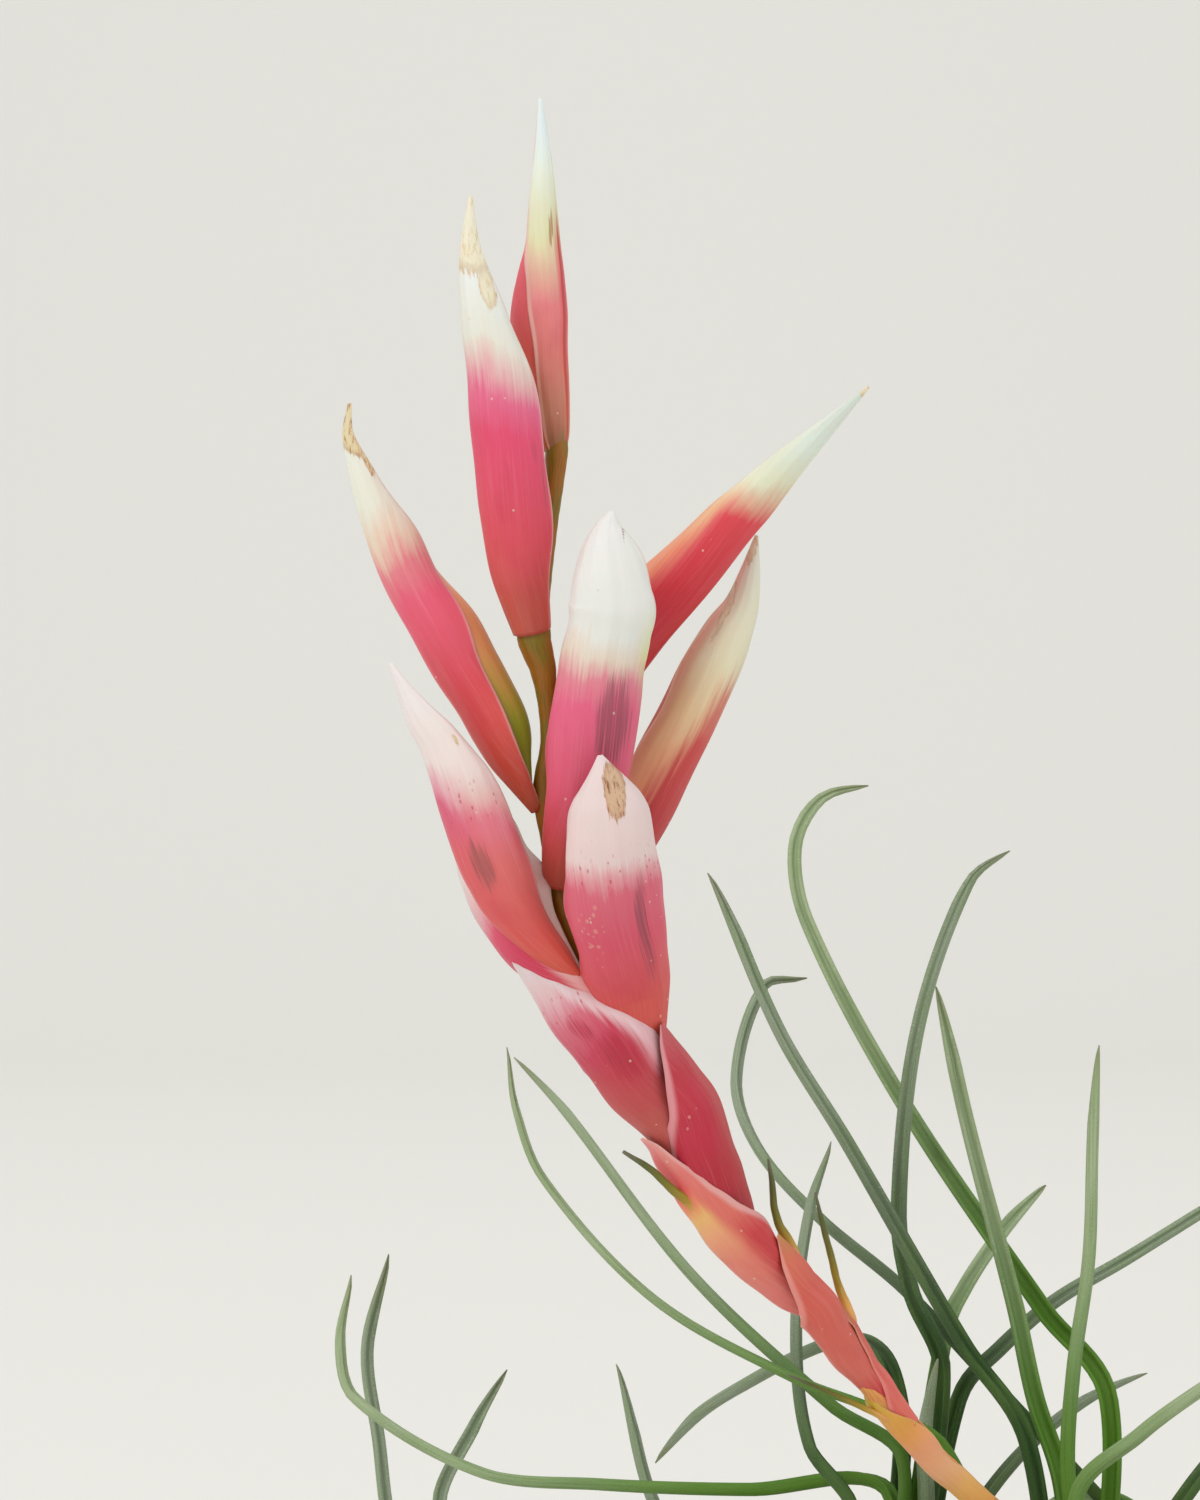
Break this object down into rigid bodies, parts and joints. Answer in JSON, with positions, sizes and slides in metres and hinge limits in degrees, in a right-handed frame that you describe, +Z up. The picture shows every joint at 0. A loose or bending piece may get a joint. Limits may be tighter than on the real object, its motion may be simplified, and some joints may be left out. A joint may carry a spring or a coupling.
{
  "type": "miniature flowering bromeliad",
  "caption": "Small clumping bromeliad in bloom: a leaning spike of folded red and white bracts over a tuft of thread-like green leaves.",
  "frame": {"origin": "on the surface that the plant rests on, under the middle of the main rosette", "axes": "+Z up; the flower spike leans towards -X and shows its face to -Y"},
  "size_m": [0.1313, 0.1141, 0.1445],
  "materials": {
    "bract": "satin",
    "sepal": "satin",
    "sheath": "satin",
    "scape": "satin",
    "leaf": "satin",
    "rhizome": "matte"
  },
  "bodies": {
    "root": {"floral_bract_1": "bract", "floral_bract_2": "bract", "floral_bract_3": "bract", "floral_bract_4": "bract", "floral_bract_5": "bract", "floral_bract_6": "bract", "floral_bract_7": "bract", "floral_bract_8": "bract", "floral_bract_9": "bract", "flower_bud_1": "sepal", "flower_bud_2": "sepal", "flower_bud_3": "sepal", "flower_bud_4": "sepal", "flower_bud_5": "sepal", "flower_bud_6": "sepal", "flower_bud_7": "sepal", "flower_bud_8": "sepal", "flower_bud_9": "sepal", "leaf_01": "leaf", "leaf_02": "leaf", "leaf_03": "leaf", "leaf_04": "leaf", "leaf_05": "leaf", "leaf_06": "leaf", "leaf_07": "leaf", "leaf_08": "leaf", "leaf_09": "leaf", "leaf_10": "leaf", "leaf_11": "leaf", "leaf_12": "leaf", "leaf_13": "leaf", "leaf_14": "leaf", "leaf_15": "leaf", "leaf_16": "leaf", "leaf_17": "leaf", "leaf_18": "leaf", "leaf_19": "leaf", "leaf_20": "leaf", "leaf_21": "leaf", "leaf_22": "leaf", "leaf_23": "leaf", "leaf_24": "leaf", "leaf_25": "leaf", "leaf_26": "leaf", "leaf_27": "leaf", "leaf_28": "leaf", "leaf_29": "leaf", "leaf_30": "leaf", "leaf_31": "leaf", "rhizome_and_roots": "rhizome", "scape": "scape", "scape_bract_1": "sheath", "scape_bract_2": "sheath", "scape_bract_3": "sheath", "scape_bract_4": "sheath", "wrap_bract_1": "bract", "wrap_bract_2": "bract"}
  },
  "joints": []
}
